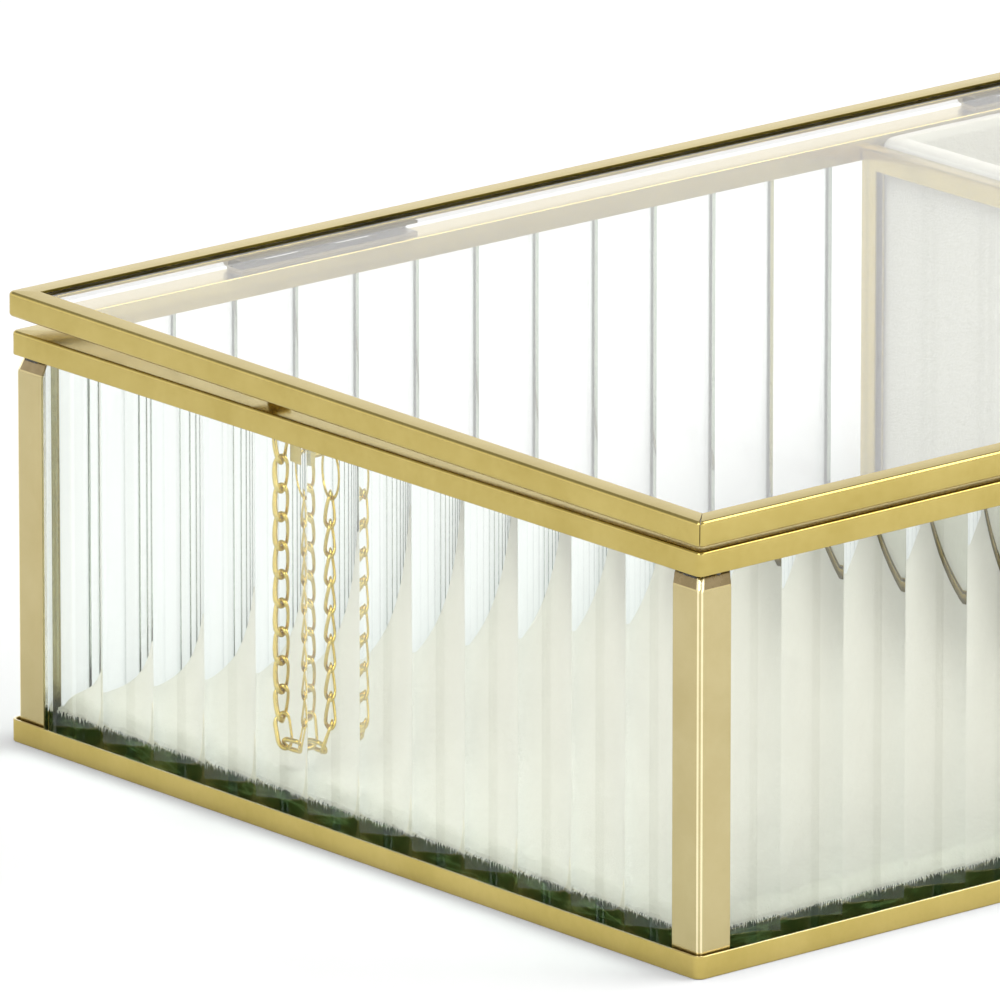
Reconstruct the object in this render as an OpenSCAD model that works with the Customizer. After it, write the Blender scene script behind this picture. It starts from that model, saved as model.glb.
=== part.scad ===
// Hinged glass jewelry box: brass strip frames, fluted glass walls, a clear lid and a lid-stay chain.
// Millimetres, +Z up, +X along the length, +Y towards the hinges, origin under the middle of the base.

/* [Box] */
// Outer length over the base rim
box_length = 254; // [230:1:280]
// Outer depth over the base rim
box_depth = 150; // [140:1:170]
// Height of the top face of the upper rim
rim_top = 60.8; // [58:0.1:66]
// Distance from the left outer face to the middle of the partition
partition_pos = 158.4; // [130:0.1:190]

/* [Brass strip] */
// Thickness of the folded brass strip
strip_t = 0.45; // [0.4:0.05:0.5]
// Height of the base rim's outer face
base_rim_h = 3.3; // [2.5:0.1:3.6]
// Width of the base rim's bottom flange
base_flange = 7; // [6:0.5:9]
// Height of the upper rim's outer face
rim_face = 3.5; // [3:0.1:4]
// Inset of the upper rim from the base rim's outer face
rim_inset = 0.4; // [0.3:0.05:0.5]
// Inset of the corner posts from the base rim's outer face
post_inset = 0.9; // [0.85:0.05:1]
// Width of each leg of a corner post
post_leg = 5.7; // [5:0.1:7]
// Outside radius of the folded corners
corner_r = 1.1; // [0.8:0.1:1.3]

/* [Glass] */
// Inset of the wall glass ridges from the base rim's outer face
glass_inset = 1.45; // [1.4:0.05:1.6]
// Full thickness of the wall glass at its ridges
glass_t = 3.6; // [3.4:0.1:4]
// Width of one flute
flute_pitch = 11.35; // [10.5:0.05:12.5]
// Radius of the hollow of a flute
flute_r = 16; // [11:0.1:20]
// Shift of the front wall's flutes along the wall
flute_shift_front = -3; // [-5.5:0.1:5.5]
// Shift of the back wall's flutes along the wall
flute_shift_back = 1.85; // [-5.5:0.05:5.5]
// Shift of the end walls' flutes along the wall
flute_shift_end = -4.5; // [-5.5:0.1:5.5]
// Thickness of the base plate
base_plate_t = 4.6; // [3:0.1:5]
// Thickness of the partition's pane
partition_pane_t = 2.1; // [1.8:0.1:2.6]

/* [Lid] */
// Height of the lid frame's outer face
lid_face = 3.65; // [3.5:0.05:4]
// Width of the lid frame's flanges
lid_flange = 3.5; // [3.2:0.1:5]
// Upward slope of the closed lid towards the hinges, degrees
lid_tilt = 0.5; // [0:0.01:0.5]
// Space between the upper rim and the lid at the hinges
lid_gap = 2.1; // [2.1:0.1:2.4]
// Width of the cut where the two ends of the lid strip meet
seam = 0.12; // [0.05:0.01:0.3]

/* [Hinges] */
// Length of each hinge
hinge_length = 33; // [25:1:40]
// Distance from the end of the box to the start of a hinge
hinge_pos = 40; // [30:1:60]
// Outside radius of the hinge knuckles
knuckle_r = 0.75; // [0.75:0.01:0.8]
// Radius of the hinge pin
pin_r = 0.37; // [0.3:0.01:0.4]
// Number of knuckles in a hinge
knuckles = 5; // [3:2:7]

/* [Linings] */
// Thickness of the flat velvet pad
pad_t = 2.6; // [2:0.1:8]
// Wall thickness of the velvet tray
tray_wall = 3.6; // [3:0.1:5]
// Floor thickness of the velvet tray
tray_floor = 4; // [3:0.1:6]
// Space around the pad and the tray
lining_gap = 0.3; // [0.3:0.1:1.5]

/* [Chain] */
// Pitch of the chain links
link_pitch = 4.2; // [4.1:0.01:4.3]
// Wire thickness of the chain links
wire_d = 0.7; // [0.6:0.05:0.7]
// Outside width of a link
link_w = 2.8; // [2.6:0.1:3]
// Outside width of the three links of the turn
turn_link_w = 3.5; // [3.4:0.1:3.6]
// Wire thickness of the two end rings
ring_wire_d = 0.6; // [0.5:0.05:0.6]
// Diameter of the box ring, to the middle of its wire
box_ring_d = 7.6; // [6:0.1:8.4]
// Diameter of the lid ring, to the middle of its wire
lid_ring_d = 3.2; // [3:0.1:3.6]
// Links in the strand that hangs from the box
links_box = 8; // [8:2:8]
// Links in the strand that hangs from the lid
links_lid = 10; // [10:2:10]
// Distance of the box strand from the left outer face
box_chain_in = 10; // [10:0.1:11]
// Distance of the lid strand from the left outer face
lid_chain_in = 7.4; // [7.4:0.1:7.6]
// Distance of the box strand from the front face
box_chain_pos = 90.5; // [88:0.1:92]
// Distance of the lid strand from the front face
lid_chain_pos = 96.65; // [95:0.05:98]
// Height of the pin that holds the box ring
box_pin_z = 54.25; // [54:0.05:55]

/* [Hidden] */
$fn = 64;
brass = "#c9b264";
brass_pale = "#cdbb88";
glass = [0.82, 0.92, 0.9, 0.35];
velvet = "#eceae0";
green_glass = [0.25, 0.42, 0.36, 0.8];

half_l = box_length / 2;
half_d = box_depth / 2;
glass_inner = glass_inset + glass_t;
flute_depth = flute_r - sqrt(flute_r * flute_r - flute_pitch * flute_pitch / 4);
base_top = strip_t + base_plate_t;
wall_h = rim_top - 2 * strip_t;
channel_inner = glass_inner + 0.1 + strip_t;
partition_x = partition_pos - half_l;
partition_w = partition_pane_t + 2 * strip_t;
partition_depth = 3.1;
partition_clear = channel_inner + 0.05;
partition_low = base_top;
partition_high = rim_top - 1.2;
tray_top = rim_top - 0.1;
axis_y = half_d - knuckle_r;
axis_z = rim_top + lid_gap / 2;
axis_to_lid = lid_gap / 2;
bore_r = pin_r + 0.05;
leaf_t = 0.42;
leaf_w = 3.2;
knuckle_step = hinge_length / knuckles;
knuckle_gap = 0.12;
hinge_x = [hinge_pos - half_l, half_l - hinge_pos - hinge_length];
eye_t = 0.5;
eye_w = 3;
eye_pin_r = 0.35;
eye_in = channel_inner;
lid_eye_in = channel_inner + 0.15;
ring_play = 0.05;
link_play = 0.06;
turn_pitch = link_pitch - 0.4;
box_x = box_chain_in - half_l;
lid_x = lid_chain_in - half_l;
box_y = box_chain_pos - half_d;
lid_y = lid_chain_pos - half_d;
// How far a ring's lower joint lies under the middle of the pin that it hangs on
box_ring_drop = box_ring_d - ring_wire_d - eye_pin_r - ring_play - 2 * link_play;
lid_ring_drop = lid_ring_d - ring_wire_d - eye_pin_r - ring_play - 2 * link_play;
box_top_z = box_pin_z - box_ring_drop;
box_low_z = box_top_z - links_box * link_pitch;
turn_side = (box_x - lid_x) / 2;
turn_run = sqrt(turn_pitch * turn_pitch - turn_side * turn_side);
turn_angle = acos((lid_y - box_y - turn_run) / (turn_pitch + turn_run));
lid_low_z = box_low_z + (turn_pitch - turn_run) * sin(turn_angle);
lid_top_z = lid_low_z + links_lid * link_pitch;
lid_pin_z = lid_top_z + lid_ring_drop;

// Rectangle of the plan, inset from the base rim's outer face, with rounded corners when r > 0
module plan(inset, r = 0) {
    x = half_l - inset;
    y = half_d - inset;
    if (r > 0)
        union() {
            square([2 * (x - r), 2 * y], center = true);
            square([2 * x, 2 * (y - r)], center = true);
            for (sx = [-1, 1], sy = [-1, 1]) translate([sx * (x - r), sy * (y - r)]) circle(r);
        }
    else
        square([2 * x, 2 * y], center = true);
}

// Flat ring of the plan between two insets
module plan_ring(z0, z1, outer, inner, r = 0) {
    translate([0, 0, z0]) linear_extrude(z1 - z0) difference() {
        plan(outer, r);
        plan(inner, max(0, r - (inner - outer)));
    }
}

// Outline of a fluted pane of length len, ridges at y = 0 and flat face at y = glass_t
module flute_outline(len, shift) {
    count = ceil(len / flute_pitch / 2) + 1;
    difference() {
        translate([-len / 2, 0]) square([len, glass_t]);
        for (k = [-count : count]) {
            translate([k * flute_pitch + shift, flute_depth - flute_r]) circle(flute_r);
        }
    }
}

module fluted_wall(len, shift) {
    translate([0, 0, strip_t]) linear_extrude(wall_h) flute_outline(len, shift);
}

module long_wall(shift) {
    translate([0, glass_inset - half_d, 0]) fluted_wall(box_length - 2 * glass_inset, shift);
}

module end_wall() {
    translate([glass_inset - half_l, 0, 0]) rotate([0, 0, -90])
        fluted_wall(box_depth - 2 * glass_inner, flute_shift_end);
}

// Folded angle strip at the front left corner
module corner_post() {
    z0 = strip_t;
    z1 = rim_top - rim_face + 1.2;
    translate([0, 0, z0]) linear_extrude(z1 - z0) intersection() {
        difference() {
            plan(post_inset, corner_r);
            plan(post_inset + strip_t, corner_r - strip_t);
        }
        translate([-half_l, -half_d]) square(post_inset + post_leg);
    }
}

module base_rim() {
    color(brass) {
        plan_ring(0, base_rim_h, 0, strip_t, corner_r);
        plan_ring(0, strip_t, strip_t, base_flange);
    }
}

module top_rim() {
    low = rim_top - rim_face;
    color(brass) {
        plan_ring(low, rim_top, rim_inset, rim_inset + strip_t, corner_r);
        plan_ring(rim_top - strip_t, rim_top, rim_inset + strip_t, channel_inner - strip_t);
        plan_ring(low + 0.2, rim_top, channel_inner - strip_t, channel_inner);
    }
}

module base_plate() {
    color(green_glass) translate([0, 0, strip_t]) linear_extrude(base_plate_t) plan(glass_inner + 0.1);
}

module wall_front() { color(glass) long_wall(flute_shift_front); }

module wall_back() { color(glass) rotate([0, 0, 180]) long_wall(flute_shift_back); }

module wall_left() { color(glass) end_wall(); }

module wall_right() { color(glass) rotate([0, 0, 180]) end_wall(); }

module post_front_left() { color(brass_pale) corner_post(); }

module post_front_right() { color(brass_pale) mirror([1, 0, 0]) corner_post(); }

module post_back_left() { color(brass_pale) mirror([0, 1, 0]) corner_post(); }

module post_back_right() { color(brass_pale) rotate([0, 0, 180]) corner_post(); }

// Channel along +X with its open side towards +Y, len long on the back and mitred inwards
module mitred_channel(len) {
    rotate([90, 0, 90]) difference() {
        translate([0, 0, -len / 2]) linear_extrude(len) difference() {
            translate([0, -partition_w / 2]) square([partition_depth, partition_w]);
            translate([strip_t, -partition_pane_t / 2]) square([partition_depth, partition_pane_t]);
        }
        for (s = [-1, 1]) {
            translate([0, 0, s * len / 2]) rotate([0, s * 45, 0])
                translate([-partition_depth * 2, -partition_w, s > 0 ? 0 : -partition_depth * 3])
                    cube([partition_depth * 6, partition_w * 2, partition_depth * 3]);
        }
    }
}

// Puts a channel on one side of the partition: turn 0 bottom, 90 back, 180 top, 270 front
module partition_side(turn) {
    height = partition_high - partition_low;
    depth = box_depth - 2 * partition_clear;
    upright = turn == 90 || turn == 270;
    reach = upright ? depth / 2 : height / 2;
    translate([partition_x, 0, partition_low + height / 2]) rotate([turn, 0, 0])
        translate([0, 0, -reach]) rotate([90, 0, 90]) mitred_channel(upright ? height : depth);
}

module partition_post_front() { color(brass) partition_side(270); }

module partition_post_back() { color(brass) partition_side(90); }

module partition_rail_top() { color(brass) partition_side(180); }

module partition_rail_bottom() { color(brass) partition_side(0); }

module partition_pane() {
    edge = strip_t + 0.1;
    y = half_d - partition_clear - edge;
    color(glass) translate([partition_x - partition_pane_t / 2 + 0.05, -y, partition_low + edge])
        cube([partition_pane_t - 0.1, 2 * y, partition_high - partition_low - 2 * edge]);
}

// Upright block with rounded vertical edges
module rounded_block(x0, x1, y0, y1, z0, z1, r) {
    translate([0, 0, z0]) linear_extrude(z1 - z0) hull() {
        for (x = [x0 + r, x1 - r], y = [y0 + r, y1 - r]) translate([x, y]) circle(r, $fn = 32);
    }
}

module velvet_pad() {
    in = glass_inner + lining_gap;
    y = half_d - in;
    right = partition_x - partition_w / 2 - lining_gap;
    color(velvet) rounded_block(in - half_l, right, -y, y, base_top, base_top + pad_t, 2);
}

module velvet_tray() {
    in = channel_inner + lining_gap;
    y = half_d - in;
    x0 = partition_x + partition_w / 2 + lining_gap;
    x1 = half_l - in;
    w = tray_wall;
    color(velvet) difference() {
        rounded_block(x0, x1, -y, y, base_top, tray_top, 2);
        rounded_block(x0 + w, x1 - w, w - y, y - w, base_top + tray_floor, tray_top + 1, 1);
    }
}

// Places lid parts, drawn with the hinge axis as their X axis and the lid level
module on_lid() {
    translate([0, axis_y, axis_z]) rotate([lid_tilt, 0, 0]) children();
}

module lid_ring(z0, z1, outer, inner, r = 0) {
    translate([0, -axis_y, 0]) plan_ring(z0, z1, outer, inner, r);
}

module lid_frame() {
    low = axis_to_lid;
    high = low + lid_face;
    color(brass) on_lid() difference() {
        union() {
            lid_ring(low, high, 0, strip_t, corner_r);
            lid_ring(low, low + strip_t, strip_t, lid_flange);
            lid_ring(high - strip_t, high, strip_t, lid_flange);
        }
        translate([-half_l, -half_d - axis_y, low - 1]) rotate([0, 0, 45])
            translate([-1, -seam / 2, 0]) cube([2 * lid_flange, seam, lid_face + 2]);
    }
}

module lid_pane() {
    play = 0.03;
    low = axis_to_lid + strip_t + play;
    color(glass) on_lid() translate([0, -axis_y, low]) linear_extrude(lid_face - 2 * strip_t - 2 * play)
        plan(strip_t + 0.1);
}

// Row of knuckles on the hinge axis: every second one, starting with the first given
module knuckle_row(first) {
    for (k = [first : 2 : knuckles - 1]) {
        start = k * knuckle_step + (k > 0 ? knuckle_gap / 2 : 0);
        end = (k + 1) * knuckle_step - (k < knuckles - 1 ? knuckle_gap / 2 : 0);
        translate([start, 0, 0]) rotate([0, 90, 0]) cylinder(h = end - start, r = knuckle_r);
    }
}

// Leaf plate and its knuckles; side -1 lies on the rim and +1 under the lid
module hinge_leaf(side, first) {
    plate_z = side * axis_to_lid + (side > 0 ? -leaf_t : 0);
    difference() {
        union() {
            translate([0, -leaf_w, plate_z]) cube([hinge_length, leaf_w, leaf_t]);
            knuckle_row(first);
        }
        translate([-1, 0, 0]) rotate([0, 90, 0]) cylinder(h = hinge_length + 2, r = bore_r);
        for (k = [1 - first : 2 : knuckles - 1]) {
            translate([k * knuckle_step - knuckle_gap / 2, -knuckle_r - knuckle_gap, -knuckle_r - knuckle_gap])
                cube([knuckle_step + knuckle_gap, 2 * knuckle_r + knuckle_gap, 2 * (knuckle_r + knuckle_gap)]);
        }
    }
}

module box_leaf(side) {
    color(brass) translate([hinge_x[side], axis_y, axis_z]) hinge_leaf(-1, 0);
}

module lid_leaf(side) {
    color(brass) on_lid() translate([hinge_x[side], 0, 0]) hinge_leaf(1, 1);
}

module hinge_pin(side) {
    head = 0.25;
    color(brass_pale) translate([hinge_x[side], axis_y, axis_z]) rotate([0, 90, 0]) {
        cylinder(h = hinge_length, r = pin_r);
        translate([0, 0, -head]) cylinder(h = head, r = pin_r + 0.2);
        translate([0, 0, hinge_length]) cylinder(h = head, r = pin_r + 0.2);
    }
}

module hinge_left_box_leaf() { box_leaf(0); }

module hinge_right_box_leaf() { box_leaf(1); }

module hinge_left_lid_leaf() { lid_leaf(0); }

module hinge_right_lid_leaf() { lid_leaf(1); }

module hinge_left_pin() { hinge_pin(0); }

module hinge_right_pin() { hinge_pin(1); }

// Pin along +X from the plane x0 to past the ring's plane, with a head that keeps the ring on
module eye_pin(x0, x_ring, y, z) {
    end = x_ring + ring_wire_d / 2 + 0.15;
    translate([x0, y, z]) rotate([0, 90, 0]) {
        cylinder(h = end - x0 + 0.1, r = eye_pin_r);
        translate([0, 0, end - x0]) cylinder(h = 0.3, r = eye_pin_r + 0.25);
    }
}

module chain_eye_box() {
    x0 = eye_in - half_l;
    color(brass) {
        translate([x0, box_y - eye_w / 2, box_pin_z - eye_w / 3])
            cube([eye_t, eye_w, rim_top - 1 - box_pin_z + eye_w / 3]);
        eye_pin(x0 + eye_t / 2, box_x, box_y, box_pin_z);
    }
}

module chain_eye_lid() {
    foot = 1.2;
    leaf = 0.4;
    w = 4.6;
    x0 = lid_eye_in - half_l;
    color(brass) {
        on_lid() translate([0, lid_y - axis_y - w / 2, 0]) {
            translate([foot - half_l, 0, axis_to_lid - leaf]) cube([lid_eye_in + leaf - foot, w, leaf]);
            translate([x0, 0, lid_pin_z - axis_z - 0.4])
                cube([leaf, w, axis_to_lid + axis_z - lid_pin_z + 0.4]);
        }
        eye_pin(x0 + leaf / 2, lid_x, lid_y, lid_pin_z);
    }
}

// Oval link in the XZ plane, its upper joint at the origin and its lower joint one pitch down
module link_flat(w) {
    r = (w - wire_d) / 2;
    reach = link_pitch / 2 + wire_d / 2 + link_play - r;
    translate([0, 0, -link_pitch / 2]) {
        for (s = [-1, 1]) {
            translate([s * r, 0, -reach]) cylinder(h = 2 * reach, r = wire_d / 2, $fn = 16);
            translate([0, 0, s * reach]) rotate([90, s > 0 ? 0 : 180, 0])
                rotate_extrude(angle = 180) translate([r, 0]) circle(wire_d / 2, $fn = 16);
        }
    }
}

// Link number k of the chain, turned about its own length so that neighbours cross
module link(k) {
    rotate([0, 0, k % 2 == 0 ? 45 : -45]) link_flat(link_w);
}

// Row of links that hangs down from its upper joint at the origin
module strand(count, first) {
    for (k = [0 : count - 1]) translate([0, 0, -k * link_pitch]) link(first + k);
}

// Link from a joint that runs at an angle above +Y and to the side by side_run, twisted about its length
module turned_link(x, y, z, angle, side_run, twist) {
    translate([x, y, z]) rotate([angle + 90, 0, 0]) rotate([0, asin(-side_run / turn_pitch), 0])
        translate([0, 0, (link_pitch - turn_pitch) / 2]) rotate([0, 0, twist]) link_flat(turn_link_w);
}

module wire_ring(x, y, z, d) {
    translate([x, y, z]) rotate([0, 90, 0]) rotate_extrude()
        translate([d / 2, 0]) circle(ring_wire_d / 2, $fn = 16);
}

module chain_ring_box() {
    hang = eye_pin_r + ring_play + ring_wire_d / 2 - box_ring_d / 2;
    color(brass) wire_ring(box_x, box_y, box_pin_z + hang, box_ring_d);
}

module chain_strand_box() { color(brass) translate([box_x, box_y, box_top_z]) strand(links_box, 0); }

module chain_turn_1() {
    color(brass) turned_link(box_x, box_y, box_low_z, -turn_angle, -turn_side, 45);
}

module chain_turn_2() {
    y = box_y + turn_run * cos(turn_angle);
    z = box_low_z - turn_run * sin(turn_angle);
    color(brass) turned_link(box_x - turn_side, y, z, 0, -turn_side, -45);
}

module chain_turn_3() {
    y = lid_y - turn_pitch * cos(turn_angle);
    z = lid_low_z - turn_pitch * sin(turn_angle);
    color(brass) turned_link(lid_x, y, z, turn_angle, 0, 30);
}

module chain_strand_lid() {
    color(brass) translate([lid_x, lid_y, lid_top_z]) strand(links_lid, links_box + 1);
}

module chain_ring_lid() {
    hang = eye_pin_r + ring_play + ring_wire_d / 2 - lid_ring_d / 2;
    color(brass) wire_ring(lid_x, lid_y, lid_pin_z + hang, lid_ring_d);
}

base_rim();
base_plate();
wall_front();
wall_back();
wall_left();
wall_right();
post_front_left();
post_front_right();
post_back_left();
post_back_right();
top_rim();
partition_post_front();
partition_post_back();
partition_rail_top();
partition_rail_bottom();
partition_pane();
velvet_pad();
velvet_tray();
hinge_left_box_leaf();
hinge_right_box_leaf();
hinge_left_pin();
hinge_right_pin();
chain_eye_box();
lid_frame();
lid_pane();
hinge_left_lid_leaf();
hinge_right_lid_leaf();
chain_eye_lid();
chain_ring_box();
chain_strand_box();
chain_turn_1();
chain_turn_2();
chain_turn_3();
chain_strand_lid();
chain_ring_lid();
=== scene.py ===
"""Looks of a glass jewelry box: brass strip frames, fluted glass walls, velvet linings and a lid-stay chain.

Blender's metres, +Z up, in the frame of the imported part. Shapes are worked out in millimetres and scaled in
make_object; lamps, textures and the camera are in metres.
"""

import math
import random

import bmesh
import bpy
import numpy as np
from mathutils import Matrix, Vector, noise


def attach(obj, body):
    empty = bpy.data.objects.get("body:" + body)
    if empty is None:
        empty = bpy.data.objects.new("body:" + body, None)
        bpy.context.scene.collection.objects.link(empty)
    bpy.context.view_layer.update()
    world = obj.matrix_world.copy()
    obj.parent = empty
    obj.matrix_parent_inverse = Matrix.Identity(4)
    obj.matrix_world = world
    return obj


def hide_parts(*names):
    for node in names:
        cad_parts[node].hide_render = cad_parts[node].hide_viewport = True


MM = 0.001

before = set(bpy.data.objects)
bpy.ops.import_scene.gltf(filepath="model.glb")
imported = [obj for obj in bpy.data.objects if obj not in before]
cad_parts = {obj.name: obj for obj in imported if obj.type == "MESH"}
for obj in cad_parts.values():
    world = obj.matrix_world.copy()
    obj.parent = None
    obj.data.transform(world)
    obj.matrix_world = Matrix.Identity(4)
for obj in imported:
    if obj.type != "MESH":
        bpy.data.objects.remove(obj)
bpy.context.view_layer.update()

# ------------------------------------------------------------------ dimensions, millimetres, as in the part
HALF_L = 127.0
HALF_D = 75.0
STRIP = 0.45
BASE_H = 3.3
BASE_FLANGE = 7.0
RIM_TOP = 60.8
RIM_FACE = 3.5
RIM_IN = 0.4
POST_IN = 0.9
POST_LEG = 5.7
CORNER_R = 1.1
RIM_CORNER_R = CORNER_R + 0.3
GLASS_IN = 1.45
GLASS_T = 3.6
FLUTE_PITCH = 11.35
FLUTE_R = 16.0
BASE_TOP = STRIP + 4.6
LID_FACE = 3.65
LID_FLANGE = 3.5
LID_TILT = math.radians(0.5)
LID_GAP = 2.1
AXIS_Y = HALF_D - 0.75
AXIS_Z = RIM_TOP + LID_GAP / 2
CHANNEL_IN = GLASS_IN + GLASS_T + 0.1 + STRIP
PART_X = 31.4
PART_W = 3.0
PART_DEPTH = 3.1
PART_LOW = BASE_TOP
PART_HIGH = RIM_TOP - 1.2

# radii of the strips' cut edges, and of their folds from the tightest to the roundest
EDGE_R = 0.14
CUT_R = 0.12
FINE_R = 0.1
FOLD_OUT_R = 0.22
RIM_BEND_R = 0.5
LID_BEND_R = 0.55
# degrees over which an edge of a strip is shaded sharp
BRASS_SHARP = 30
# heights at which tall upright faces are cut
CUTS = (20.0, 40.0)


# ------------------------------------------------------------------ node helpers
def new_material(name):
    mat = bpy.data.materials.new(name)
    mat.use_nodes = True
    mat.node_tree.nodes.clear()
    return mat


class Nodes:
    """Adds nodes to a material or world and links them."""

    def __init__(self, mat):
        self.tree = mat.node_tree

    def add(self, kind, **values):
        """Adds a node. A key is an input's name, with __ for a space, or i and its number."""
        n = self.tree.nodes.new(kind)
        for key, value in values.items():
            numbered = key[0] == "i" and key[1:].isdigit()
            socket = n.inputs[int(key[1:]) if numbered else key.replace("__", " ")]
            if isinstance(value, bpy.types.NodeSocket):
                self.tree.links.new(value, socket)
            else:
                socket.default_value = value
        return n

    def link(self, a, b):
        self.tree.links.new(a, b)

    def ramp(self, fac, stops):
        n = self.tree.nodes.new("ShaderNodeValToRGB")
        self.tree.links.new(fac, n.inputs[0])
        els = n.color_ramp.elements
        while len(els) < len(stops):
            els.new(0.5)
        for el, (pos, col) in zip(els, stops):
            el.position = pos
            el.color = (*col, 1.0)
        return n.outputs[0]

    def math(self, op, a, b):
        n = self.tree.nodes.new("ShaderNodeMath")
        n.operation = op
        for k, v in enumerate((a, b)):
            if isinstance(v, bpy.types.NodeSocket):
                self.tree.links.new(v, n.inputs[k])
            else:
                n.inputs[k].default_value = v
        return n.outputs[0]

    def coords(self, scale=(1, 1, 1)):
        tc = self.add("ShaderNodeTexCoord")
        mp = self.add("ShaderNodeMapping")
        self.link(tc.outputs["Object"], mp.inputs["Vector"])
        mp.inputs["Scale"].default_value = scale
        return mp.outputs["Vector"]

    def blend(self, a, b, share):
        """a and b mixed, with this share of b."""
        return self.math("ADD", self.math("MULTIPLY", a, 1 - share), self.math("MULTIPLY", b, share))

    def between(self, tone, low, high):
        return self.math("ADD", self.math("MULTIPLY", tone, high - low), low)

    def noise(self, vector, scale, detail, rough):
        n = self.add("ShaderNodeTexNoise", Scale=scale, Detail=detail, Roughness=rough)
        self.link(vector, n.inputs["Vector"])
        return n.outputs["Fac"]

    def output(self, shader, volume=None):
        out = self.add("ShaderNodeOutputMaterial")
        self.link(shader, out.inputs["Surface"])
        if volume is not None:
            self.link(volume, out.inputs["Volume"])


# cells per metre of the noises, and depths of the bumps in metres
CLOUD_SCALE = 90.0
GRAIN_SCALE = 900.0
GRAIN_DEPTH = 0.00004
WAVE_SCALE = 22.0
WAVE_DEPTH = 0.0004
STREAK_SCALE = 210.0
PATCH_SCALE = 26.0
TUFT_SCALE = 700.0
FIBRE_SCALE = 2600.0
PILE_DEPTH = 0.00025
GLASS_IOR = 1.5


def brass_material(name, low, high, rough_low, rough_high):
    """Satin brass: a cloudy tone between low and high, with a fine grain."""
    mat = new_material(name)
    n = Nodes(mat)
    vec = n.coords()
    cloud = n.noise(vec, CLOUD_SCALE, 3.0, 0.55)
    grain = n.noise(vec, GRAIN_SCALE, 2.0, 0.6)
    tone = n.blend(cloud, grain, 0.25)
    colour = n.ramp(tone, [(0.32, low), (0.68, high)])
    rough = n.between(tone, rough_low, rough_high)
    bump = n.add("ShaderNodeBump", Strength=0.12, Distance=GRAIN_DEPTH, Height=grain)
    b = n.add("ShaderNodeBsdfPrincipled", Base__Color=colour, Roughness=rough, Normal=bump.outputs[0])
    b.inputs["Metallic"].default_value = 1.0
    n.output(b.outputs[0])
    return mat


def glass_material(name, tint, shadow, absorb=None, density=0.0):
    """Clear glass that bends what is behind it. Lamps reach through it, tinted, for what it shuts in."""
    mat = new_material(name)
    n = Nodes(mat)
    wave = n.noise(n.coords(), WAVE_SCALE, 1.0, 0.4)
    bump = n.add("ShaderNodeBump", Strength=0.03, Distance=WAVE_DEPTH, Height=wave)
    b = n.add("ShaderNodeBsdfPrincipled", IOR=GLASS_IOR, Roughness=0.0, Normal=bump.outputs[0])
    b.inputs["Base Color"].default_value = (*tint, 1.0)
    b.inputs["Transmission Weight"].default_value = 1.0
    clear = n.add("ShaderNodeBsdfTransparent", Color=(*shadow, 1.0))
    path = n.add("ShaderNodeLightPath")
    mix = n.add("ShaderNodeMixShader", i0=path.outputs["Is Shadow Ray"], i1=b.outputs[0], i2=clear.outputs[0])
    volume = None
    if absorb:
        volume = n.add("ShaderNodeVolumeAbsorption", Color=(*absorb, 1.0), Density=density).outputs[0]
    n.output(mix.outputs[0], volume)
    return mat


def green_edge_material(name, low, high):
    """Thick green glass whose edge has long streaks of painted light."""
    mat = new_material(name)
    n = Nodes(mat)
    streak = n.noise(n.coords((0.35, 0.35, 2.2)), STREAK_SCALE, 3.0, 0.6)
    colour = n.ramp(streak, [(0.38, low), (0.54, low), (0.60, high), (0.66, low), (0.78, high)])
    b = n.add("ShaderNodeBsdfPrincipled", Base__Color=colour, IOR=GLASS_IOR, Roughness=0.04)
    b.inputs["Transmission Weight"].default_value = 0.55
    n.output(b.outputs[0])
    return mat


def velvet_material(name, low, high):
    """Short cream pile: soft sheen, fine fibres and brushed patches."""
    mat = new_material(name)
    n = Nodes(mat)
    vec = n.coords()
    patch = n.noise(vec, PATCH_SCALE, 3.0, 0.5)
    fibre = n.noise(vec, FIBRE_SCALE, 2.0, 0.7)
    tuft = n.noise(vec, TUFT_SCALE, 2.0, 0.6)
    colour = n.ramp(n.blend(patch, tuft, 0.45), [(0.3, low), (0.7, high)])
    bump = n.add("ShaderNodeBump", Strength=0.5, Distance=PILE_DEPTH, Height=n.math("ADD", fibre, tuft))
    rough = n.between(tuft, 0.78, 0.98)
    b = n.add("ShaderNodeBsdfPrincipled", Base__Color=colour, Roughness=rough, Normal=bump.outputs[0])
    b.inputs["Sheen Weight"].default_value = 0.45
    b.inputs["Sheen Roughness"].default_value = 0.35
    b.inputs["Sheen Tint"].default_value = (1.0, 0.98, 0.94, 1.0)
    b.inputs["Specular IOR Level"].default_value = 0.15
    n.output(b.outputs[0])
    return mat


BRASS = brass_material("brass", (0.475, 0.37, 0.108), (0.56, 0.447, 0.152), 0.17, 0.27)
BRASS_BASE = brass_material("brass_base", (0.50, 0.39, 0.112), (0.58, 0.46, 0.155), 0.42, 0.52)
# painted shade: a dark brown brass for the shaded crimp at the posts' tops
BRASS_CRIMP_SHADE = brass_material("brass_crimp_shade", (0.20, 0.15, 0.07), (0.34, 0.265, 0.15), 0.22, 0.34)
# painted shade: a near-black brass for the shaded inside of the lid's channel
BRASS_SHADE = brass_material("brass_inside_shade", (0.05, 0.036, 0.004), (0.11, 0.083, 0.012), 0.35, 0.5)
# painted highlight: a pale bright brass for glints along edges and bends
BRASS_HIGHLIGHT = brass_material("brass_painted_highlight", (0.86, 0.76, 0.46), (0.95, 0.86, 0.56), 0.2, 0.3)
BRASS_POST = brass_material("brass_post", (0.505, 0.42, 0.208), (0.565, 0.482, 0.256), 0.2, 0.3)
BRASS_CHAIN = brass_material("brass_chain", (0.60, 0.445, 0.11), (0.73, 0.575, 0.18), 0.10, 0.16)
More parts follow.
